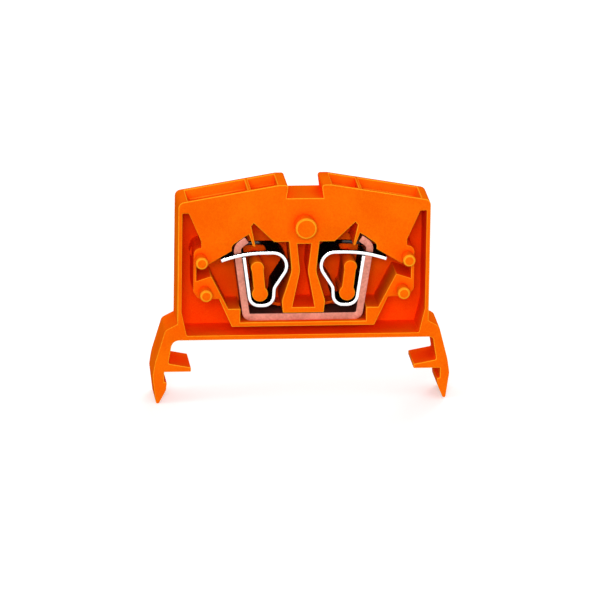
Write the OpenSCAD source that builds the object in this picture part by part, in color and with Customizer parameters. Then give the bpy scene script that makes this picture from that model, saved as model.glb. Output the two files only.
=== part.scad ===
// Feed-through terminal block with two spring clamps
// X runs across, Y through the thickness with the open side at -Y, and Z up
// The origin is the middle of the seat plane between the two snap feet

/* [Body] */
// Width over the side walls
body_w = 32; // [31:0.5:36]
// Thickness from the open side to the back
body_t = 6; // [5.5:0.1:8]
// Height of the underside above the seat plane
floor_z = 4.15; // [3.6:0.05:4.6]
// Thickness of the floor
floor_t = 0.6; // [0.4:0.05:0.9]
// Thickness of the side walls
side_t = 0.5; // [0.35:0.05:0.8]
// Thickness of the back wall
back_t = 0.5; // [0.35:0.05:0.8]
// Height of the crests beside the notch
crest_z = 24.45; // [24:0.05:26]
// Drop from the crests to the shoulders at the side walls
shoulder_drop = 2.2; // [1.6:0.05:2.6]
// Distance from the middle at which the slope reaches the crest
crest_x = 3.3; // [2.9:0.1:3.9]
// Radius of the shoulders
shoulder_r = 0.8; // [0.3:0.1:1.2]
// Width of the notch between the crests
notch_w = 4.2; // [3.4:0.1:4.6]
// Depth of the notch
notch_d = 1.75; // [1:0.05:2.4]
// Undercut of each notch wall
notch_undercut = 0.25; // [0:0.05:0.4]

/* [Snap feet] */
// Width of the flange that the feet clip over
flange_w = 35; // [34.6:0.1:36]
// Play between each edge of the flange and its groove
flange_play = 0.1; // [0.05:0.05:0.3]
// Height of the groove in each foot
groove_h = 1.3; // [1.1:0.05:1.6]
// Overlap of each lip under the flange
lip_over = 0.25; // [0.15:0.05:0.5]
// Length of the seat pads
pad_len = 3.4; // [2.5:0.1:4.5]
// Thickness of the seat pads at their free end
pad_t = 0.56; // [0.4:0.02:0.8]
// Rise of the pads towards the legs
pad_rise = 0.55; // [0.3:0.05:0.7]
// Thickness of the left leg at the groove
left_leg_t = 1.45; // [1.1:0.05:1.8]
// Thickness of the right leg at the groove
right_leg_t = 1.2; // [1:0.05:1.6]
// Depth of the left tip below the seat plane
left_tip = 4.15; // [3.6:0.05:4.8]
// Depth of the right tip below the seat plane
right_tip = 3.95; // [3.6:0.05:4.8]
// Fillet between the left leg and the underside
left_fillet = 1; // [0.3:0.1:1.4]
// Fillet between the right leg and the underside
right_fillet = 0.5; // [0.3:0.1:1.4]

/* [Wire funnels and tool slots] */
// Distance of the funnel mouths' inner edge from the middle
funnel_in = 7.24; // [6.8:0.02:7.6]
// Distance of the funnel mouths' outer edge from the middle
funnel_out = 14.88; // [14.4:0.02:15]
// Thickness of the plate in front of the funnels
plate_t = 0.45; // [0.35:0.05:0.6]
// Thickness of the wall behind the funnels
funnel_back_t = 1.4; // [0.8:0.1:1.6]
// Setback of the lead-in at the mouths
lead_in = 0.8; // [0.3:0.1:1]
// Depth of the lead-in at the mouths
lead_h = 1.1; // [0.5:0.1:1.5]
// Thickness of the finger between a funnel and its tool slot
finger_t = 0.4; // [0.3:0.02:0.5]
// Height of the finger tips above the springs' upper legs
finger_lift = 0.95; // [0.8:0.05:1.4]
// Distance of the tool slots' inner edge from the middle
slot_in = 3.45; // [3:0.05:4]

/* [Studs] */
// Radius of the middle stud
mid_stud_r = 1.36; // [1:0.02:1.6]
// Height of the middle stud
mid_stud_z = 19.3; // [18.8:0.05:20]
// Radius of the four side studs
stud_r = 0.78; // [0.6:0.02:0.9]
// Length of the studs in front of the open side
stud_len = 2.2; // [1.5:0.1:3]
// Chamfer round each stud's end
stud_chamfer = 0.15; // [0.05:0.05:0.3]
// Distance of the upper side studs from the middle
upper_stud_x = 13.15; // [13:0.05:13.4]
// Height of the upper side studs
upper_stud_z = 14.9; // [14.7:0.05:15.1]
// Distance of the lower side studs from the middle
lower_stud_x = 12.55; // [12.3:0.05:12.8]
// Height of the lower side studs
lower_stud_z = 10.6; // [10.4:0.05:10.8]
// Play of a stud in the socket of the next block
socket_play = 0.05; // [0.02:0.01:0.1]
// Wall round each side socket
socket_wall = 0.22; // [0.2:0.02:0.4]

/* [Current bar] */
// Thickness of the bar
bar_t = 0.9; // [0.7:0.05:1.1]
// Height of the rib that the bar lies on
bar_seat_z = 6.43; // [6.2:0.01:6.6]
// Width over the legs where they meet the lower run
bar_span = 15.1; // [14.8:0.05:15.4]
// Outward lean of each leg in degrees
bar_lean = 8.1; // [7:0.1:9]
// Height of each hook's outer corner above the springs' upper legs
hook_lift = 0.9; // [0.75:0.05:1.1]
// Rise of each hook's end in degrees
hook_rise = 35.5; // [25:0.5:45]
// Length of each hook past its outer corner
hook_len = 1.8; // [1.5:0.05:2]
// Inner radius of the bends at the lower run
bar_bend_r = 0.2; // [0.1:0.05:0.5]
// Inner radius of the hooks
hook_r = 0.6; // [0.3:0.05:0.7]

/* [Clamp springs] */
// Thickness of the spring strip
spring_t = 0.38; // [0.3:0.01:0.45]
// Setback of the springs from the open side
spring_inset = 0.2; // [0.1:0.05:0.4]
// Room between the springs and the back wall
spring_room = 0.3; // [0.1:0.05:0.5]
// Width of the strips left beside the window
window_rail = 0.5; // [0.4:0.05:0.7]
// Distance of the window's inner end from the middle
window_in = 4.7; // [4.4:0.05:5.2]
// Radius of the window's inner corners
window_r = 0.8; // [0.3:0.1:1.2]
// Room beside the bar in the window
bar_play = 0.1; // [0.05:0.05:0.2]
// Fit of a spring against the bar
spring_fit = 0.05; // [0.02:0.01:0.1]
// Height of the upper leg
spring_z = 15.5; // [15.3:0.05:15.9]
// Length of the tongue outside the bar
tongue_len = 1.6; // [1:0.05:2]
// Droop of the tongue in degrees
tongue_droop = 19; // [12:1:20]
// Radius of the upper turn
nose_r = 1.73; // [1.5:0.01:1.8]
// Distance of the upper turn's nose from the middle
nose_x = 2.2; // [2.15:0.05:2.5]
// Height of the waist above the lower turn
waist_h = 2.3; // [2:0.05:2.5]
// Width of the lower turn
loop_w = 2.85; // [2.7:0.05:3]
// Radius of the lower turn
loop_r = 1.25; // [0.8:0.05:1.25]
// Height of the lower turn above the bar
loop_gap = 1.05; // [0.9:0.05:1.2]
// Room between the inner leg's end and the upper leg
leg_gap = 0.15; // [0.1:0.05:0.4]

/* [Posts and ribs] */
// Radius of the posts' upper lobe
post_top_r = 0.82; // [0.6:0.02:0.9]
// Radius of the posts' lower lobe
post_low_r = 1; // [0.8:0.02:1.05]
// Width of the posts' waist
post_waist = 1.46; // [1:0.02:1.6]
// Room between the upper lobe and the spring
post_top_gap = 0.5; // [0.3:0.05:0.7]
// Room between the lower lobe and the spring
post_low_gap = 0.2; // [0.1:0.05:0.3]
// Height of the upper lobe below the spring's upper leg
post_drop = 1.9; // [1.7:0.05:2.2]
// Height of the lower lobe above the spring's lower turn
post_lift = 1.6; // [1.5:0.05:1.8]
// Thickness of the rib under the bar
rib_t = 0.56; // [0.4:0.02:0.8]
// Room round the bar's hooks and beside its legs
bar_room = 0.3; // [0.2:0.05:0.4]
// Height of the front plate's lower edge above the springs' upper legs
plate_lift = 1.5; // [1.3:0.05:1.7]
// Drop from the crests to the side pockets' upper end
pocket_drop = 3.55; // [3.2:0.05:3.9]
// Thickness of the web between the side studs
web_t = 0.35; // [0.2:0.05:0.4]
// Least thickness of the hourglass rib's walls
hourglass_t = 1.05; // [0.8:0.05:1.1]

/* [Hidden] */
$fn = 48;
arc_step = 12;
arc_chord = 0.1;
arc_long = 0.8;
over = 1;
orange = [0.97, 0.44, 0.01];
copper = [0.91, 0.56, 0.48];
steel = [0.85, 0.86, 0.88];

// Smaller forms of the moulding
throat_x = 12.55;
throat_lift = 1.66;
mouth_lift = 0.3;
funnel_wall = 0.5;
finger_bend = 2.75;
finger_x = 6.2;
finger_tip_t = 0.3;
finger_lean = 0.19;
finger_root = 0.07;
slot_apex = 0.4;
slot_apex_lift = 4;
crest_r = 0.6;
notch_r = 0.35;
plate_r = 0.15;
plate_lap = 0.3;
pocket_r = 0.2;
skirt_z = 7.9;
skirt_in = 0.7;
boss_edge = 0.85;
boss_h = 1.4;
boss_r = 0.2;
web_lap = 0.15;
tip_room = 0.5;
hook_lead = 0.82;
hook_clear = 0.6;
hook_room_r = 0.8;
block_z = 8.25;
block_gap = 0.2;
rib_foot_x = 9.56;
rib_top_x = 11.75;
rib_w = 1;
rib_rise = 2;
hourglass_top = 1.94;
hourglass_gap = 0.46;
hourglass_mid_z = 13.1;
hourglass_low = 2.75;
hourglass_low_z = 9.2;
hourglass_low_t = 1.33;
hourglass_base = 0.72;
hourglass_r = 2;
wedge_t = 0.2;
wedge_reach = 0.8;
wedge_y = 0;
socket_end = 0.2;
socket_boss_r = stud_r + socket_play + socket_wall;
socket_boss_y = body_t / 2 - stud_len - socket_end - socket_wall;

// Smaller forms of the feet
foot_top_z = 6.3;
foot_shoulder = 0.8;
leg_bulge = 0.25;
leg_r = 5;
leg_bulge_r = 1.5;
tip_taper = 0.45;
tip_t = 0.35;
tip_r = 0.15;
lip_lean = 0.1;
lip_h = 1.1;
lip_r = 0.8;
lip_slope = 0.12;
leg_root = 0.5;
leg_taper = 0.5;
pad_r = 0.2;

// Smaller forms of the springs
tip_flat = 0.4;
waist_r = 1;
waist_lean = 3;

// Heights tied to the crests and to the springs' upper legs
shoulder_z = crest_z - shoulder_drop;
notch_z = crest_z - notch_d;
pocket_z = crest_z - pocket_drop;
mouth_z = shoulder_z + mouth_lift;
hook_z = spring_z + hook_lift;
plate_z = spring_z + plate_lift;
throat_z = spring_z + throat_lift;
finger_z = spring_z + finger_lift;
slot_apex_z = spring_z + slot_apex_lift;

// Planes of the body
body_x = body_w / 2;
front_y = -body_t / 2;
back_y = body_t / 2;
inner_y = back_y - back_t;
pocket_floor = floor_z + floor_t;
top_z = crest_z + over;
slope = atan((crest_z - shoulder_z) / (body_x - crest_x));

// Corners of the current bar on the right side
bar_mid_z = bar_seat_z + bar_t / 2;
bar_top_z = bar_seat_z + bar_t;
leg_skew = bar_t / 2 / cos(bar_lean);
leg_inward = [-cos(bar_lean), sin(bar_lean)];
hook_dir = [-cos(hook_rise), sin(hook_rise)];
hook_inward = [-sin(hook_rise), -cos(hook_rise)];
hook_corner = [bar_outer_x(hook_z), hook_z];
hook_end = hook_corner + hook_dir * hook_len;
function bar_outer_x(z) = bar_span / 2 + (z - bar_seat_z) * tan(bar_lean);
function bar_x(z) = bar_outer_x(z) - leg_skew;
function hook_offset(d) = hook_corner + (leg_inward + hook_inward) * d / (1 + leg_inward * hook_inward);

// Planes of the clamp springs and of the bar in their windows
spring_w = body_t - back_t - spring_inset - spring_room;
spring_y = front_y + spring_inset;
window_y = spring_y + window_rail;
window_w = spring_w - 2 * window_rail;
bar_y = window_y + bar_play;
bar_w = window_w - 2 * bar_play;

// Corners of the right clamp spring's middle line
spring_skew = spring_t / 2 / cos(bar_lean);
function inner_leg_x(z) = bar_x(z) - leg_skew - spring_fit - spring_skew;
knee_x = inner_leg_x(spring_z);
function tongue_z(x) = spring_z - (x - knee_x) * tan(tongue_droop);
window_out = bar_outer_x(spring_z) + spring_fit;
tip_x = window_out + tongue_len;
tip = [tip_x, tongue_z(tip_x)];
knee_r = (norm(tip - [knee_x, spring_z]) - tip_flat) / tan(tongue_droop / 2);
knee_drop = knee_r * (1 / cos(tongue_droop / 2) - 1);
loop_z = bar_top_z + loop_gap + spring_t / 2;
loop_out = [inner_leg_x(loop_z), loop_z];
loop_in = loop_out - [loop_w, 0];
waist = loop_in + [-waist_h * tan(waist_lean), waist_h];
nose_centre = [nose_x + nose_r, spring_z - nose_r];
nose_reach = norm(waist - nose_centre);
nose_touch = nose_centre + nose_r * dir(angle(waist - nose_centre) - acos(nose_r / nose_reach));
nose = waist + (nose_touch - waist) * (spring_z - waist[1]) / (nose_touch[1] - waist[1]);
leg_end_z = spring_z - knee_drop - spring_t / 2 - leg_gap;
upper_leg = [tip, [knee_x, spring_z, knee_r], nose];
spring_line = [
    tip,
    [knee_x, spring_z, knee_r],
    [nose[0], nose[1], nose_r],
    [waist[0], waist[1], waist_r],
    [loop_in[0], loop_z, loop_r],
    [loop_out[0], loop_z, loop_r],
    [inner_leg_x(leg_end_z), leg_end_z]];

// Corners of the wire funnels and tool slots on the right side
slot_out = funnel_in - finger_t;
funnel_foot_x = upper_stud_x - stud_r - funnel_wall;
finger_foot = [funnel_in - finger_lean, hook_end[1] + hook_clear];
function funnel_x(z) = throat_x + (z - throat_z) * (funnel_out - throat_x) / (mouth_z - throat_z);

// Corners of the housing's ribs
boss_x = upper_stud_x + boss_edge;
web_z = lower_stud_z + boss_h / 2;
hourglass_waist = nose_x - spring_t / 2 - hourglass_gap;
hourglass_z = bar_top_z + bar_room;
block_x = bar_outer_x(block_z) + block_gap;

// Geometry of outlines
function unit(v) = v / norm(v);
function dir(a) = [cos(a), sin(a)];
function angle(v) = atan2(v[1], v[0]);
function xz(c) = [c[0], c[1]];
function corner_r(c) = len(c) > 2 ? c[2] : 0;
function short_turn(a) = a > 180 ? a - 360 : a < -180 ? a + 360 : a;
function left_normal(a, b) = let (u = unit(b - a)) [-u[1], u[0]];

// Number of chords for a turn, none of them shorter than arc_chord or much longer than arc_long
function arc_count(turn, r) =
    let (arc = r * turn * PI / 180)
    max(1, min(max(ceil(turn / arc_step), ceil(arc / arc_long)), floor(arc / arc_chord)));

// Middle of the arc that rounds corner p, coming from a and going to b
function arc_centre(a, p, b, r) =
    let (u = unit(a - p), v = unit(b - p), half = acos(u * v) / 2)
    p + unit(u + v) * r / sin(half);

// Points of that arc
function arc(a, p, b, r) =
    let (u = unit(a - p), v = unit(b - p), reach = r / tan(acos(u * v) / 2), c = arc_centre(a, p, b, r))
    let (from = angle(p + u * reach - c), turn = short_turn(angle(p + v * reach - c) - from))
    let (steps = arc_count(abs(turn), r))
    [for (i = [0:steps]) c + r * dir(from + turn * i / steps)];

// Closed outline through corners given as [x, z] or [x, z, radius]
function outline(c) = let (n = len(c)) [for (i = [0:n - 1])
    let (a = xz(c[(i + n - 1) % n]), p = xz(c[i]), b = xz(c[(i + 1) % n]), r = corner_r(c[i]))
    each (r > 0 ? arc(a, p, b, r) : [p])];

// Outline of a symmetrical shape, from the corners on its right side
function both_sides(c) = outline(concat(c, [for (i = [len(c) - 1:-1:0]) [-c[i][0], c[i][1], corner_r(c[i])]]));

// Points and normals along the middle line of a bent strip
function strip_line(c) = let (n = len(c)) [
    [xz(c[0]), left_normal(xz(c[0]), xz(c[1]))],
    for (i = [1:n - 2])
        let (a = xz(c[i - 1]), p = xz(c[i]), b = xz(c[i + 1]), m = arc_centre(a, p, b, c[i][2]))
        let (side = cross(p - a, b - p) > 0 ? 1 : -1)
        each [for (q = arc(a, p, b, c[i][2])) [q, side * unit(m - q)]],
    [xz(c[n - 1]), left_normal(xz(c[n - 2]), xz(c[n - 1]))]];

// Outline of a bent strip of thickness t
function strip(c, t) = let (line = strip_line(c)) [
    for (k = line) k[0] + k[1] * t / 2,
    for (i = [len(line) - 1:-1:0]) line[i][0] - line[i][1] * t / 2];

// Draws an XZ outline from depth y0 to depth y1
module along_y(y0, y1) {
    translate([0, y1, 0]) rotate([90, 0, 0]) linear_extrude(y1 - y0) children();
}

// Draws its children on the right side and mirrored on the left
module both() {
    children();
    mirror([1, 0, 0]) children();
}

// Round pin along Y from depth y0 to depth y1
module pin(x, z, r, y0, y1) {
    translate([x, y1, z]) rotate([90, 0, 0]) cylinder(r = r, h = y1 - y0);
}

// Stud on the open side, with a chamfered end
module stud(x, z, r) {
    end_y = front_y - stud_len;
    pin(x, z, r, end_y + stud_chamfer, front_y + over);
    translate([x, end_y + stud_chamfer, z])
        rotate([90, 0, 0]) cylinder(r1 = r, r2 = r - stud_chamfer, h = stud_chamfer);
}

// Blind socket in the back for the stud of the next block
module socket(x, z, r) {
    pin(x, z, r + socket_play, back_y - stud_len - socket_end, back_y + over);
}

// Outer outline of the body without its feet
module body_outline() {
    polygon(both_sides([
        [body_x, floor_z],
        [body_x, shoulder_z, shoulder_r],
        [crest_x, crest_z, crest_r],
        [notch_w / 2, crest_z, notch_r],
        [notch_w / 2 + notch_undercut, notch_z]]));
}

// One snap foot on the right side: leg, lip, groove and seat pad
module foot(leg_t, tip_depth, fillet) {
    groove_x = flange_w / 2 + flange_play;
    lip_x = flange_w / 2 - lip_over;
    leg_x = groove_x + leg_t;
    polygon(outline([
        [body_x - side_t, floor_z],
        [body_x - side_t, foot_top_z],
        [body_x, foot_top_z],
        [(body_x + leg_x) / 2, foot_top_z - foot_shoulder, foot_shoulder],
        [leg_x - leg_bulge, pad_t + pad_rise, leg_r],
        [leg_x, -groove_h / 2, leg_bulge_r],
        [leg_x - tip_taper, -tip_depth, tip_r],
        [leg_x - tip_taper - tip_t, -tip_depth, tip_r],
        [lip_x + lip_lean, -groove_h - lip_h, lip_r],
        [lip_x, -groove_h - lip_slope],
        [groove_x, -groove_h],
        [groove_x, 0],
        [groove_x - pad_len, 0],
        [groove_x - pad_len, pad_t],
        [groove_x - leg_root, pad_t + pad_rise, pad_r],
        [groove_x - leg_root - leg_taper, floor_z, fillet]]));
}

// Front plate with the funnel walls, the fingers and the upper bosses
module plate_outline() {
    polygon(both_sides([
        [body_x + over, top_z],
        [body_x + over, pocket_z],
        [funnel_x(pocket_z) + funnel_wall, pocket_z, pocket_r],
        [throat_x + funnel_wall, throat_z],
        [throat_x + funnel_wall, upper_stud_z + boss_h],
        [boss_x, upper_stud_z + boss_h, boss_edge],
        [boss_x, upper_stud_z - boss_edge, boss_r],
        [upper_stud_x - boss_edge, upper_stud_z - boss_edge, boss_r],
        [tip_x + tip_room, tongue_z(tip_x + tip_room) + tip_room],
        [window_out + bar_room, tongue_z(window_out) + hook_lead],
        concat(hook_offset(-bar_room), [hook_room_r]),
        hook_end - hook_inward * bar_room,
        finger_foot,
        [finger_x + finger_tip_t, finger_z],
        [finger_x, finger_z],
        [slot_out - finger_root, slot_apex_z - finger_t],
        [slot_out - slot_apex, slot_apex_z],
        [slot_in + slot_apex, plate_z, plate_r],
        [hourglass_top, plate_z]]));
}

// Ribs round the lower corners, with the lower bosses and the seat of the bar
module rib_outline() {
    polygon(both_sides([
        [block_x, bar_seat_z],
        [block_x, block_z],
        [rib_foot_x, block_z],
        [rib_top_x, lower_stud_z + rib_rise, boss_r],
        [boss_x, lower_stud_z + boss_h - web_lap],
        [boss_x, lower_stud_z, boss_r],
        [lower_stud_x + boss_edge, lower_stud_z - boss_edge, boss_r],
        [rib_top_x - rib_w, lower_stud_z - boss_edge - web_lap],
        [rib_foot_x - rib_w / 2, bar_seat_z - rib_t]]));
}

// Rib shaped like an hourglass between the clamps
module hourglass_outline() {
    difference() {
        polygon(both_sides([
            [hourglass_top, plate_z + over],
            [hourglass_top, plate_z],
            [hourglass_waist, hourglass_mid_z, hourglass_r],
            [hourglass_low, hourglass_low_z, hourglass_r / 2],
            [hourglass_low - web_lap, hourglass_z]]));
        polygon(both_sides([
            [hourglass_top - hourglass_t, plate_z - plate_lap],
            [hourglass_waist - hourglass_t, hourglass_mid_z, hourglass_r],
            [hourglass_low - hourglass_low_t, hourglass_z + hourglass_base]]));
    }
}

// Peanut-shaped post inside the right spring
module post_outline() {
    top_at = spring_z - post_drop;
    low_at = loop_z + post_lift;
    top_x = inner_leg_x(top_at) - spring_skew - post_top_gap - post_top_r;
    low_x = inner_leg_x(low_at) - spring_skew - post_low_gap - post_low_r;
    half = post_waist / 2;
    translate([top_x, top_at]) circle(post_top_r);
    translate([low_x, low_at]) circle(post_low_r);
    polygon([[top_x - half, top_at], [top_x + half, top_at], [low_x + half, low_at], [low_x - half, low_at]]);
}

// Wedge under the right spring's lower turn
module wedge_outline() {
    polygon([
        [hourglass_low - hourglass_t, hourglass_z],
        [hourglass_low + wedge_t, hourglass_z],
        [loop_in[0] + wedge_reach, loop_z - spring_t / 2 - wedge_t],
        [loop_in[0] + wedge_reach - wedge_t, loop_z - spring_t / 2],
        [hourglass_low - hourglass_t, hourglass_z + wedge_t]]);
}

// All that is hollow behind the open side
module pocket_outline() {
    difference() {
        polygon(both_sides([
            [body_x - side_t, pocket_z + side_t],
            [body_x - side_t, skirt_z],
            [body_x - side_t - skirt_in, pocket_floor, pocket_r]]));
        plate_outline();
        rib_outline();
        hourglass_outline();
        both() post_outline();
        both() translate([boss_x - web_t, web_z]) square([web_t, upper_stud_z - web_z]);
    }
}

// Right wire funnel, seen from the open side
module funnel_outline() {
    polygon([
        [funnel_in, top_z],
        [funnel_out, top_z],
        [funnel_out, mouth_z],
        [throat_x, throat_z],
        [funnel_foot_x, upper_stud_z - boss_edge],
        [bar_x(leg_end_z), upper_stud_z - boss_edge],
        [bar_x(leg_end_z), hook_z],
        finger_foot,
        [funnel_in, throat_z + finger_bend]]);
}

// Right tool slot, seen from the open side
module slot_outline() {
    polygon([
        [slot_in, top_z],
        [slot_out, top_z],
        [slot_out - finger_root, slot_apex_z - finger_t],
        [finger_x, finger_z],
        [finger_x, spring_z + spring_t],
        [slot_in + slot_apex, spring_z + spring_t],
        [slot_in + slot_apex / 2, plate_z]]);
}

// Slanted lead-in behind the mouths of the openings that its children outline
module lead_in_cut() {
    y0 = back_y - funnel_back_t;
    intersection() {
        along_y(front_y, back_y) children();
        translate([crest_x, 0, crest_z])
            rotate([0, slope, 0])
            rotate([90, 0, 90])
            linear_extrude((body_x - crest_x) / cos(slope))
            polygon([
                [y0 - over, -lead_h],
                [y0, -lead_h],
                [y0 + lead_in * (1 + over / lead_h), over],
                [y0 - over, over]]);
    }
}

module housing() {
    color(orange) difference() {
        union() {
            difference() {
                along_y(front_y, back_y) {
                    body_outline();
                    foot(right_leg_t, right_tip, right_fillet);
                    mirror([1, 0, 0]) foot(left_leg_t, left_tip, left_fillet);
                }
                along_y(front_y - over, inner_y) pocket_outline();
                both() along_y(front_y + plate_t, back_y - funnel_back_t) {
                    funnel_outline();
                    slot_outline();
                }
                both() lead_in_cut() {
                    funnel_outline();
                    slot_outline();
                }
            }
            both() along_y(wedge_y, inner_y + back_t / 2) wedge_outline();
            both() pin(upper_stud_x, upper_stud_z, socket_boss_r, socket_boss_y, inner_y + back_t / 2);
            both() pin(lower_stud_x, lower_stud_z, socket_boss_r, socket_boss_y, inner_y + back_t / 2);
            both() stud(upper_stud_x, upper_stud_z, stud_r);
            both() stud(lower_stud_x, lower_stud_z, stud_r);
            stud(0, mid_stud_z, mid_stud_r);
        }
        both() socket(upper_stud_x, upper_stud_z, stud_r);
        both() socket(lower_stud_x, lower_stud_z, stud_r);
        socket(0, mid_stud_z, mid_stud_r);
    }
}

module current_bar() {
    right = [
        concat([bar_x(bar_mid_z), bar_mid_z], [bar_bend_r + bar_t / 2]),
        concat(hook_offset(bar_t / 2), [hook_r + bar_t / 2]),
        hook_end + hook_inward * bar_t / 2];
    left = [for (i = [len(right) - 1:-1:0]) [-right[i][0], right[i][1], corner_r(right[i])]];
    color(copper) along_y(bar_y, bar_y + bar_w) polygon(strip(concat(left, right), bar_t));
}

// Right clamp spring: a folded strip with a window for the bar
module clamp_spring() {
    color(steel) difference() {
        along_y(spring_y, spring_y + spring_w) polygon(strip(spring_line, spring_t));
        intersection() {
            along_y(window_y - over, window_y + window_w + over) polygon(strip(upper_leg, spring_t + leg_gap));
            linear_extrude(spring_z + over) polygon(outline([
                [window_in, window_y, window_r],
                [window_out, window_y],
                [window_out, window_y + window_w],
                [window_in, window_y + window_w, window_r]]));
        }
    }
}

module left_clamp_spring() { mirror([1, 0, 0]) clamp_spring(); }

module right_clamp_spring() { clamp_spring(); }

housing();
current_bar();
left_clamp_spring();
right_clamp_spring();
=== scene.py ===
# Looks of the feed-through terminal block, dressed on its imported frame
import itertools
import math

import bmesh
import bpy
from mathutils import Matrix, Vector
from mathutils.kdtree import KDTree


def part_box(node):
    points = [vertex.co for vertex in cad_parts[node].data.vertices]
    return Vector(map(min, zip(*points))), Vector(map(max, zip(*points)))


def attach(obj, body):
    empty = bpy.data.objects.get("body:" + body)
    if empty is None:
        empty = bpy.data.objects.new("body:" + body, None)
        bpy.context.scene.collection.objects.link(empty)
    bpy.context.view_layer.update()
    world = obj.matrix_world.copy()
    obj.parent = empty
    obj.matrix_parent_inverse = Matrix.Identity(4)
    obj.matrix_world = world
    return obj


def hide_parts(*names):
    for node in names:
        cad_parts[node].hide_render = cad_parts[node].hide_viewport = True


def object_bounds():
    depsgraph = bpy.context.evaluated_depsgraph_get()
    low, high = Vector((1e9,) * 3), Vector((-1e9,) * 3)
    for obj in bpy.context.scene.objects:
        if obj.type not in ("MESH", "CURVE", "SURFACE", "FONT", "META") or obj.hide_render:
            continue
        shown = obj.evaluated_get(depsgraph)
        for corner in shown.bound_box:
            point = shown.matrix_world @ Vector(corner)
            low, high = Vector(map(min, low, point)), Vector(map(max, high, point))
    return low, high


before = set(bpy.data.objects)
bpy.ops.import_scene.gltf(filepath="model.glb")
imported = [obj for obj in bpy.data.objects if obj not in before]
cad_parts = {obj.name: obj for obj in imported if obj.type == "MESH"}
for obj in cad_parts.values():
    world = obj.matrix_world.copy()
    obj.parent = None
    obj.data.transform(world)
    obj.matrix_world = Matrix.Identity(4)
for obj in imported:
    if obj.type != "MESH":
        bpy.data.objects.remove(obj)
cad_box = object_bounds()

MM = 0.001
SLIVER = 0.0005 * MM

# Rounding: which edges count as sharp, and how much of the room beside an edge its rounding may take
SHARP_ANGLE = math.radians(32.0)
RUN_ANGLE = math.radians(40.0)
ROOM_SHARE = 0.45
LEAST_SHARE = 0.34
PLANE_SLOPE = 0.2
SMOOTH_ANGLE = math.radians(35.0)

# Rounding of each kind of piece: radius and segments
HOUSING_ROUNDING = (0.09 * MM, 3)
BAR_ROUNDING = (0.04 * MM, 2)
SPRING_ROUNDING = (0.03 * MM, 2)

# Camera: a long lens from the left and above, framed on the front plane of the block
VIEW_AZIMUTH = math.radians(-6.0)
VIEW_ELEVATION = math.radians(17.0)
VIEW_ROLL = math.radians(-0.9)
VIEW_DISTANCE = 0.9
VIEW_WIDTH = 75.95 * MM
VIEW_CENTRE = Vector((-0.45, -3.0, 9.31)) * MM
SENSOR_WIDTH = 36.0
NEAR_CLIP = 0.01

# Light: the world, and four soft boxes given by place, size and watts
WORLD_LEVEL = 0.58
KEY_BOX = ((-0.45, -2.80, 0.98), 0.8, 40.0)
FILL_BOX = ((0.90, -2.75, 0.85), 1.2, 8.0)
SIDE_BOX = ((-2.50, -0.60, 1.30), 1.0, 14.0)
BACK_BOX = ((0.90, 2.50, 1.40), 1.2, 28.0)
WHITE = (1.0, 1.0, 1.0)

# Colours of the pieces, linear
ORANGE = (0.95, 0.118, 0.0010)
ORANGE_WARM = (0.985, 0.168, 0.0018)
# Painted highlight: a lighter, yellower orange for the rounded outer edges of the housing
EDGE_HIGHLIGHT_ORANGE = (1.0, 0.33, 0.010)
EDGE_HIGHLIGHT_PALE = (1.0, 0.40, 0.016)
# Painted shade: a redder orange for the recesses of the housing
RECESS_PAINTED_SHADE_RED = (0.97, 0.050, 0.0008)
RECESS_PAINTED_SHADE_WARM = (1.0, 0.076, 0.0012)
COPPER = (0.80, 0.295, 0.210)
COPPER_DARK = (0.56, 0.185, 0.125)
# Painted shade: a dark colour for the rolled faces of the copper bar
COPPER_FACE_PAINTED_SHADE = (0.11, 0.034, 0.024)
STEEL_EDGE = (0.97, 0.97, 0.97)
STEEL_DULL = (0.90, 0.90, 0.91)
# Painted shade: near-black rolled faces of the springs, and a dark tint that darkens their grazing
# reflections
STEEL_FACE_PAINTED_SHADE = (0.065, 0.065, 0.068)
STEEL_GRAZE_PAINTED_SHADE = (0.20, 0.20, 0.20)

# Grain of each surface: stretch, scale of the clouds and scale of the grain
PLASTIC_GRAIN = ((1.0, 1.0, 1.0), 260.0, 5500.0)
COPPER_GRAIN = ((0.35, 1.0, 0.35), 1400.0, 9000.0)
STEEL_GRAIN = ((0.1, 1.0, 0.1), 1500.0, 20000.0)
NOISE_DETAIL = 3.0
NOISE_RANGE = (0.3, 0.7)
MOTTLE_RANGE = (0.75, 1.25)

# Bump of each surface: strength and depth
PLASTIC_BUMP = (0.45, 0.03 * MM)
COPPER_BUMP = (0.5, 0.02 * MM)
STEEL_BUMP = (0.1, 0.01 * MM)

# Least and most roughness, and how metallic the dull copper is
PLASTIC_ROUGH = (0.56, 0.64)
EDGE_ROUGH = (0.31, 0.39)
COPPER_ROUGH = (0.38, 0.50)
STEEL_ROUGH = (0.22, 0.34)
COPPER_METAL = 0.35

# Width of the bare sheared edges kept out of the painted shade on the rolled faces, and how far and how
# strongly the painted shade reddens recesses
EDGE_BAND = 0.3 * MM
RECESS_REACH = 5.0 * MM
RECESS_RANGE = (0.38, 0.9)
RECESS_SAMPLES = 12

# Floor
FLOOR_SIZE = 6.0
FLOOR_WHITE = (0.97, 0.97, 0.97)
FLOOR_GREY = (0.45, 0.45, 0.45)
FLOOR_GLOW = 0.28
FLOOR_ROUGH = 0.9

# Sockets of the colour Mix node
MIX_FACTOR = 0
MIX_LOW = 6
MIX_HIGH = 7
MIX_RESULT = 2


def make_active(piece):
    bpy.ops.object.select_all(action="DESELECT")
    piece.select_set(True)
    bpy.context.view_layer.objects.active = piece


def new_tree(name):
    material = bpy.data.materials.new(name)
    material.use_nodes = True
    nodes = material.node_tree.nodes
    nodes.clear()
    output = nodes.new("ShaderNodeOutputMaterial")
    shader = nodes.new("ShaderNodeBsdfPrincipled")
    material.node_tree.links.new(shader.outputs["BSDF"], output.inputs["Surface"])
    return material, shader


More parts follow.
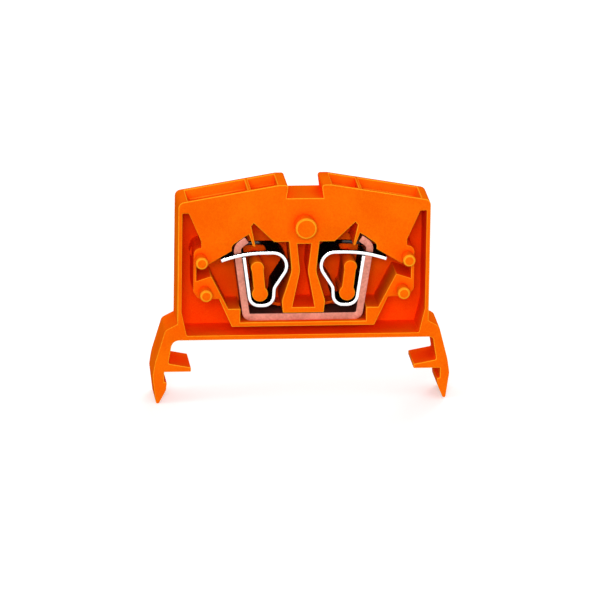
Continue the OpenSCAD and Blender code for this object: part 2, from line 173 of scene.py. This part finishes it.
def speckle_group():
    """Node group: a soft cloud, a fine grain and both together, over stretched Object coordinates."""
    group = bpy.data.node_groups.new("Speckle", "ShaderNodeTree")
    face = group.interface
    face.new_socket("Stretch", in_out="INPUT", socket_type="NodeSocketVector")
    for name in ("Cloud Scale", "Grain Scale"):
        face.new_socket(name, in_out="INPUT", socket_type="NodeSocketFloat")
    for name in ("Cloud", "Grain", "Mottle"):
        face.new_socket(name, in_out="OUTPUT", socket_type="NodeSocketFloat")
    nodes, link = group.nodes, group.links.new
    given = nodes.new("NodeGroupInput")
    result = nodes.new("NodeGroupOutput")
    place = nodes.new("ShaderNodeTexCoord")
    stretched = nodes.new("ShaderNodeVectorMath")
    stretched.operation = "MULTIPLY"
    link(place.outputs["Object"], stretched.inputs[0])
    link(given.outputs["Stretch"], stretched.inputs[1])
    both = nodes.new("ShaderNodeMath")
    both.operation = "ADD"
    for place_in_sum, name in enumerate(("Cloud", "Grain")):
        noise = nodes.new("ShaderNodeTexNoise")
        noise.inputs["Detail"].default_value = NOISE_DETAIL
        link(stretched.outputs["Vector"], noise.inputs["Vector"])
        link(given.outputs[f"{name} Scale"], noise.inputs["Scale"])
        link(noise.outputs["Fac"], result.inputs[name])
        link(noise.outputs["Fac"], both.inputs[place_in_sum])
    mottle = nodes.new("ShaderNodeMapRange")
    mottle.inputs["From Min"].default_value, mottle.inputs["From Max"].default_value = MOTTLE_RANGE
    link(both.outputs["Value"], mottle.inputs["Value"])
    link(mottle.outputs["Result"], result.inputs["Mottle"])
    return group


SPECKLE = speckle_group()


def place_speckle(material, grain):
    node = material.node_tree.nodes.new("ShaderNodeGroup")
    node.node_tree = SPECKLE
    for name, value in zip(("Stretch", "Cloud Scale", "Grain Scale"), grain):
        node.inputs[name].default_value = value
    return node


def new_mix(material, factor):
    mix = material.node_tree.nodes.new("ShaderNodeMix")
    mix.data_type = "RGBA"
    material.node_tree.links.new(factor, mix.inputs[MIX_FACTOR])
    return mix


def mix_colours(material, factor, low, high):
    """Colour that runs from low to high with a factor output."""
    mix = new_mix(material, factor)
    mix.inputs[MIX_LOW].default_value = (*low, 1.0)
    mix.inputs[MIX_HIGH].default_value = (*high, 1.0)
    return mix.outputs[MIX_RESULT]


def mix_output(material, factor, low, colour):
    """Colour that runs from a plain colour to a colour output with a factor output."""
    mix = new_mix(material, factor)
    mix.inputs[MIX_LOW].default_value = (*low, 1.0)
    material.node_tree.links.new(colour, mix.inputs[MIX_HIGH])
    return mix.outputs[MIX_RESULT]


def spread(material, noise, limits):
    """Value that runs between two limits with the usual range of a noise output."""
    node = material.node_tree.nodes.new("ShaderNodeMapRange")
    node.inputs["From Min"].default_value, node.inputs["From Max"].default_value = NOISE_RANGE
    node.inputs["To Min"].default_value, node.inputs["To Max"].default_value = limits
    material.node_tree.links.new(noise, node.inputs["Value"])
    return node.outputs["Result"]


def roughen(material, shader, speckle, rough, bump_setting):
    """Roughness from the clouds and bump from the grain of a speckle node."""
    link = material.node_tree.links.new
    link(spread(material, speckle.outputs["Cloud"], rough), shader.inputs["Roughness"])
    bump = material.node_tree.nodes.new("ShaderNodeBump")
    bump.inputs["Strength"].default_value, bump.inputs["Distance"].default_value = bump_setting
    link(speckle.outputs["Grain"], bump.inputs["Height"])
    link(bump.outputs["Normal"], shader.inputs["Normal"])


def painted_recess_shade(material, mottle, colour):
    """The given colour output, turned redder in the recesses as painted shade, standing in for the light
    that bounces from wall to wall.
    """
    nodes, link = material.node_tree.nodes, material.node_tree.links.new
    openness = nodes.new("ShaderNodeAmbientOcclusion")
    openness.samples = RECESS_SAMPLES
    openness.only_local = True
    openness.inputs["Distance"].default_value = RECESS_REACH
    level = nodes.new("ShaderNodeMapRange")
    level.inputs["From Min"].default_value, level.inputs["From Max"].default_value = RECESS_RANGE
    link(openness.outputs["AO"], level.inputs["Value"])
    mix = new_mix(material, level.outputs["Result"])
    link(mix_colours(material, mottle, RECESS_PAINTED_SHADE_RED, RECESS_PAINTED_SHADE_WARM), mix.inputs[MIX_LOW])
    link(colour, mix.inputs[MIX_HIGH])
    return mix.outputs[MIX_RESULT]


def moulded_plastic(name, low, high, rough):
    """Matte moulded polyamide with a faint mottle in its colour, a fine grain from the mould, and
    painted shade that turns its recesses redder.
    """
    material, shader = new_tree(name)
    speckle = place_speckle(material, PLASTIC_GRAIN)
    mottle = speckle.outputs["Mottle"]
    colour = painted_recess_shade(material, mottle, mix_colours(material, mottle, low, high))
    material.node_tree.links.new(colour, shader.inputs["Base Color"])
    roughen(material, shader, speckle, rough, PLASTIC_BUMP)
    shader.inputs["Specular IOR Level"].default_value = 0.0
    return material


def front_edge(material, plane_y):
    """One on the sheared edge in the plane at plane_y on the open side, nought on the rolled faces,
    which take a painted shade.
    """
    nodes, link = material.node_tree.nodes, material.node_tree.links.new
    place = nodes.new("ShaderNodeTexCoord")
    parts = {}
    for kind in ("Normal", "Object"):
        split = nodes.new("ShaderNodeSeparateXYZ")
        link(place.outputs[kind], split.inputs["Vector"])
        parts[kind] = split.outputs["Y"]
    near = nodes.new("ShaderNodeMapRange")
    near.inputs["From Min"].default_value = plane_y + EDGE_BAND
    near.inputs["From Max"].default_value = plane_y + EDGE_BAND / 2
    link(parts["Object"], near.inputs["Value"])
    facing = nodes.new("ShaderNodeMath")
    facing.operation = "MULTIPLY"
    facing.inputs[1].default_value = -1.0
    link(parts["Normal"], facing.inputs[0])
    edge = nodes.new("ShaderNodeMath")
    edge.operation = "MULTIPLY"
    edge.use_clamp = True
    link(spread(material, facing.outputs["Value"], (0.0, 1.0)), edge.inputs[0])
    link(near.outputs["Result"], edge.inputs[1])
    return edge.outputs["Value"]


def rolled_copper():
    """Copper strip: rolled faces painted dark as shade, with rolling lines, and a bare sheared edge on
    the open side.
    """
    material, shader = new_tree("bar_copper")
    speckle = place_speckle(material, COPPER_GRAIN)
    bare = mix_colours(material, speckle.outputs["Mottle"], COPPER_DARK, COPPER)
    edge = front_edge(material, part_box("current_bar")[0].y)
    # The rolled faces are painted dark as shade, and only the sheared edge keeps the copper colour
    colour = mix_output(material, edge, COPPER_FACE_PAINTED_SHADE, bare)
    material.node_tree.links.new(colour, shader.inputs["Base Color"])
    roughen(material, shader, speckle, COPPER_ROUGH, COPPER_BUMP)
    shader.inputs["Metallic"].default_value = COPPER_METAL
    return material


def spring_steel():
    """Rolled faces painted near black as shade, with their grazing reflections darkened too, and a
    bright sheared edge on the open side.
    """
    material, shader = new_tree("spring_steel")
    speckle = place_speckle(material, STEEL_GRAIN)
    bright = mix_colours(material, speckle.outputs["Cloud"], STEEL_DULL, STEEL_EDGE)
    edge = front_edge(material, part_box("left_clamp_spring")[0].y)
    # The rolled faces are painted near black as shade, and only the sheared edge stays bright
    colour = mix_output(material, edge, STEEL_FACE_PAINTED_SHADE, bright)
    material.node_tree.links.new(colour, shader.inputs["Base Color"])
    roughen(material, shader, speckle, STEEL_ROUGH, STEEL_BUMP)
    shader.inputs["Metallic"].default_value = 1.0
    # A dark grazing tint: painted shade that keeps reflections off the rolled faces
    shader.inputs["Specular Tint"].default_value = (*STEEL_GRAZE_PAINTED_SHADE, 1.0)
    return material


def room_beside(edge, point):
    """Distance of a point beside an edge in the plane of one of its faces, or None elsewhere."""
    start, end = (corner.co for corner in edge.verts)
    along = end - start
    step = (point - start).dot(along) / along.length_squared
    if not 0.0 <= step <= 1.0:
        return None
    side = point - start - along * step
    room = side.length
    if room < SLIVER:
        return None
    in_plane = any(abs(side.dot(face.normal)) < PLANE_SLOPE * room for face in edge.link_faces)
    return room if in_plane else None


def runs_on(one, other, corner):
    """True where two edges that meet in a corner go on in nearly the same direction."""
    first = (one.other_vert(corner).co - corner.co).normalized()
    second = (other.other_vert(corner).co - corner.co).normalized()
    return first.dot(second) < -math.cos(RUN_ANGLE)


def rounding_shares(shape, radius):
    """Share of the radius that each outer edge can take, the same all along a smooth run of edges."""
    sharp = [edge for edge in shape.edges if edge.calc_face_angle() > SHARP_ANGLE]
    shares = {edge: 1.0 for edge in sharp if edge.is_convex}
    corners = sorted({corner.index for edge in sharp for corner in edge.verts})
    tree = KDTree(len(corners))
    for index in corners:
        tree.insert(shape.verts[index].co, index)
    tree.balance()
    for edge in sharp:
        ends = [corner.index for corner in edge.verts]
        middle = (edge.verts[0].co + edge.verts[1].co) / 2
        near = tree.find_range(middle, edge.calc_length() / 2 + radius / ROOM_SHARE)
        for point, index, _ in near:
            room = None if index in ends else room_beside(edge, point)
            if room:
                for close in (edge, *shape.verts[index].link_edges):
                    if close in shares:
                        shares[close] = min(shares[close], ROOM_SHARE * room / radius)
    runs = []
    for corner in shape.verts:
        outer = [edge for edge in corner.link_edges if edge in shares]
        runs += [pair for pair in itertools.combinations(outer, 2) if runs_on(*pair, corner)]
    settled = False
    while not settled:
        settled = True
        for one, other in runs:
            if shares[one] != shares[other]:
                shares[one] = shares[other] = min(shares[one], shares[other])
                settled = False
    return shares


def mark_outer_edges(piece, radius):
    """Writes how far each outer edge is rounded; edges with hardly any room stay sharp."""
    shape = bmesh.new()
    shape.from_mesh(piece.data)
    shape.verts.ensure_lookup_table()
    weight = shape.edges.layers.float.new("bevel_weight_edge")
    for edge, share in rounding_shares(shape, radius).items():
        edge[weight] = share if share > LEAST_SHARE else 0.0
    shape.to_mesh(piece.data)
    shape.free()


def softened_copy(node, name, rounding, materials):
    """Copy of a solid with its outer edges rounded; the rounded faces take the last material."""
    radius, segments = rounding
    piece = bpy.data.objects.new(name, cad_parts[node].data.copy())
    bpy.context.scene.collection.objects.link(piece)
    make_active(piece)
    bpy.ops.object.mode_set(mode="EDIT")
    bpy.ops.mesh.select_all(action="SELECT")
    bpy.ops.mesh.remove_doubles(threshold=SLIVER)
    bpy.ops.object.mode_set(mode="OBJECT")
    bpy.ops.mesh.customdata_custom_splitnormals_clear()
    piece.data.materials.clear()
    for material in materials:
        piece.data.materials.append(material)
    mark_outer_edges(piece, radius)
    bevel = piece.modifiers.new("soft edges", "BEVEL")
    bevel.width = radius
    bevel.segments = segments
    bevel.limit_method = "WEIGHT"
    bevel.use_clamp_overlap = False
    bevel.loop_slide = False
    bevel.material = len(materials) - 1
    bpy.ops.object.modifier_apply(modifier=bevel.name)
    bpy.ops.object.shade_smooth_by_angle(angle=SMOOTH_ANGLE)
    flats = piece.modifiers.new("flat faces", "WEIGHTED_NORMAL")
    flats.keep_sharp = True
    bpy.ops.object.modifier_apply(modifier=flats.name)
    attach(piece, "root")
    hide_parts(node)
    return piece


def dress_block():
    plastic = moulded_plastic("housing_plastic", ORANGE, ORANGE_WARM, PLASTIC_ROUGH)
    # The rounded edges of the housing take a lighter orange, which is a painted highlight
    edge = moulded_plastic("housing_painted_highlight", EDGE_HIGHLIGHT_ORANGE, EDGE_HIGHLIGHT_PALE, EDGE_ROUGH)
    copper = rolled_copper()
    steel = spring_steel()
    housing = softened_copy("housing", "moulded_housing", HOUSING_ROUNDING, [plastic, edge])
    bar = softened_copy("current_bar", "bent_current_bar", BAR_ROUNDING, [copper])
    for side in ("left", "right"):
        node = f"{side}_clamp_spring"
        spring = softened_copy(node, f"folded_{side}_spring", SPRING_ROUNDING, [steel])


def seen_rays(tree):
    """One for rays of the camera, of reflections and through glass, nought for those that only light."""
    path = tree.nodes.new("ShaderNodeLightPath")
    seen = path.outputs["Is Camera Ray"]
    for kind in ("Is Glossy Ray", "Is Transmission Ray"):
        most = tree.nodes.new("ShaderNodeMath")
        most.operation = "MAXIMUM"
        tree.links.new(seen, most.inputs[0])
        tree.links.new(path.outputs[kind], most.inputs[1])
        seen = most.outputs["Value"]
    return seen


def make_floor():
    """White floor that keeps the shadow but throws little light back."""
    bpy.ops.mesh.primitive_plane_add(size=FLOOR_SIZE, location=(0.0, 0.0, cad_box[0].z))
    floor = bpy.context.object
    floor.name = "floor"
    material, shader = new_tree("floor_white")
    nodes, link = material.node_tree.nodes, material.node_tree.links.new
    seen = seen_rays(material.node_tree)
    link(mix_colours(material, seen, FLOOR_GREY, FLOOR_WHITE), shader.inputs["Base Color"])
    glow = nodes.new("ShaderNodeMath")
    glow.operation = "MULTIPLY"
    glow.inputs[1].default_value = FLOOR_GLOW
    link(seen, glow.inputs[0])
    link(glow.outputs["Value"], shader.inputs["Emission Strength"])
    shader.inputs["Emission Color"].default_value = (*WHITE, 1.0)
    shader.inputs["Roughness"].default_value = FLOOR_ROUGH
    shader.inputs["Specular IOR Level"].default_value = 0.0
    floor.data.materials.append(material)


def make_world():
    """White to the camera and to reflections, softer as a light."""
    world = bpy.data.worlds.new("studio")
    bpy.context.scene.world = world
    world.use_nodes = True
    nodes, link = world.node_tree.nodes, world.node_tree.links.new
    background = nodes["Background"]
    background.inputs["Color"].default_value = (*WHITE, 1.0)
    level = nodes.new("ShaderNodeMapRange")
    level.inputs["To Min"].default_value = WORLD_LEVEL
    level.inputs["To Max"].default_value = 1.0
    link(seen_rays(world.node_tree), level.inputs["Value"])
    link(level.outputs["Result"], background.inputs["Strength"])


def soft_box(name, setting):
    place, size, watts = setting
    data = bpy.data.lights.new(name, "AREA")
    data.size = size
    data.energy = watts
    lamp = bpy.data.objects.new(name, data)
    bpy.context.scene.collection.objects.link(lamp)
    lamp.location = place
    aim = VIEW_CENTRE - Vector(place)
    lamp.rotation_euler = aim.to_track_quat("-Z", "Y").to_euler()


def make_lights():
    soft_box("key box", KEY_BOX)
    soft_box("fill box", FILL_BOX)
    soft_box("side box", SIDE_BOX)
    soft_box("back box", BACK_BOX)


def make_camera():
    data = bpy.data.cameras.new("camera")
    data.sensor_width = SENSOR_WIDTH
    data.lens = SENSOR_WIDTH * VIEW_DISTANCE / VIEW_WIDTH
    data.clip_start = NEAR_CLIP
    camera = bpy.data.objects.new("camera", data)
    bpy.context.scene.collection.objects.link(camera)
    back = Vector((
        math.sin(VIEW_AZIMUTH) * math.cos(VIEW_ELEVATION),
        -math.cos(VIEW_AZIMUTH) * math.cos(VIEW_ELEVATION),
        math.sin(VIEW_ELEVATION)))
    place = VIEW_CENTRE + back * VIEW_DISTANCE
    turn = (-back).to_track_quat("-Z", "Y").to_matrix().to_4x4()
    camera.matrix_world = Matrix.Translation(place) @ turn @ Matrix.Rotation(-VIEW_ROLL, 4, "Z")
    bpy.context.scene.camera = camera


bpy.context.scene.view_settings.view_transform = "Standard"
make_camera()
make_world()
make_lights()
make_floor()
dress_block()
